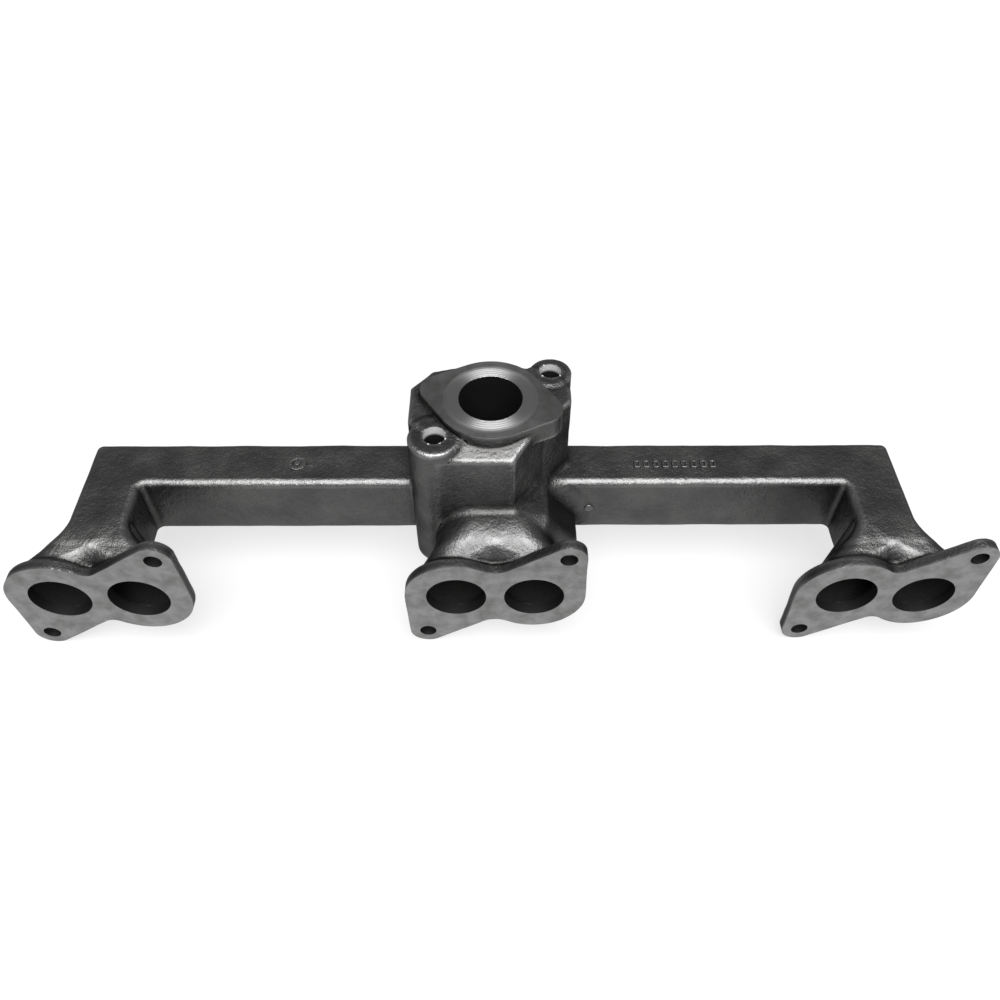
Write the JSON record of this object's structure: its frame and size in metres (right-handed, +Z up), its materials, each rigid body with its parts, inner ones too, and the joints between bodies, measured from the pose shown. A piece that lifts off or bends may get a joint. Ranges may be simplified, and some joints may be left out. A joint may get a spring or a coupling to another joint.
{
  "type": "exhaust manifold",
  "caption": "Cast iron exhaust manifold with a straight box-section collector, three twin-port flanges and an upright bolted outlet at the middle.",
  "frame": {"origin": "centre of the middle flange's machined face, half way between its two ports", "axes": "+X along the collector, -Y out of the ports towards the cylinder head, +Z up out of the outlet"},
  "size_m": [0.5626, 0.1137, 0.136],
  "materials": {
    "raw_iron": "sand-cast, dark and slightly rough",
    "machined_iron": "machined grey iron with tool marks"
  },
  "bodies": {
    "root": {"log_left_tube": "raw_iron", "log_right_tube": "raw_iron", "left_elbow": "raw_iron", "right_elbow": "raw_iron", "port_neck_1": "raw_iron", "port_neck_2": "raw_iron", "port_neck_3": "raw_iron", "port_neck_4": "raw_iron", "port_neck_5": "raw_iron", "port_neck_6": "raw_iron", "riser_tower": "raw_iron", "riser_base": "raw_iron", "middle_duct": "raw_iron", "front_bolt_column": "raw_iron", "rear_bolt_column": "raw_iron", "left_mark_pad": "raw_iron", "right_mark_strip": "raw_iron", "front_mark_pip": "raw_iron", "left_port_flange": "machined_iron", "centre_port_flange": "machined_iron", "right_port_flange": "machined_iron", "outlet_pad": "machined_iron"}
  },
  "joints": []
}
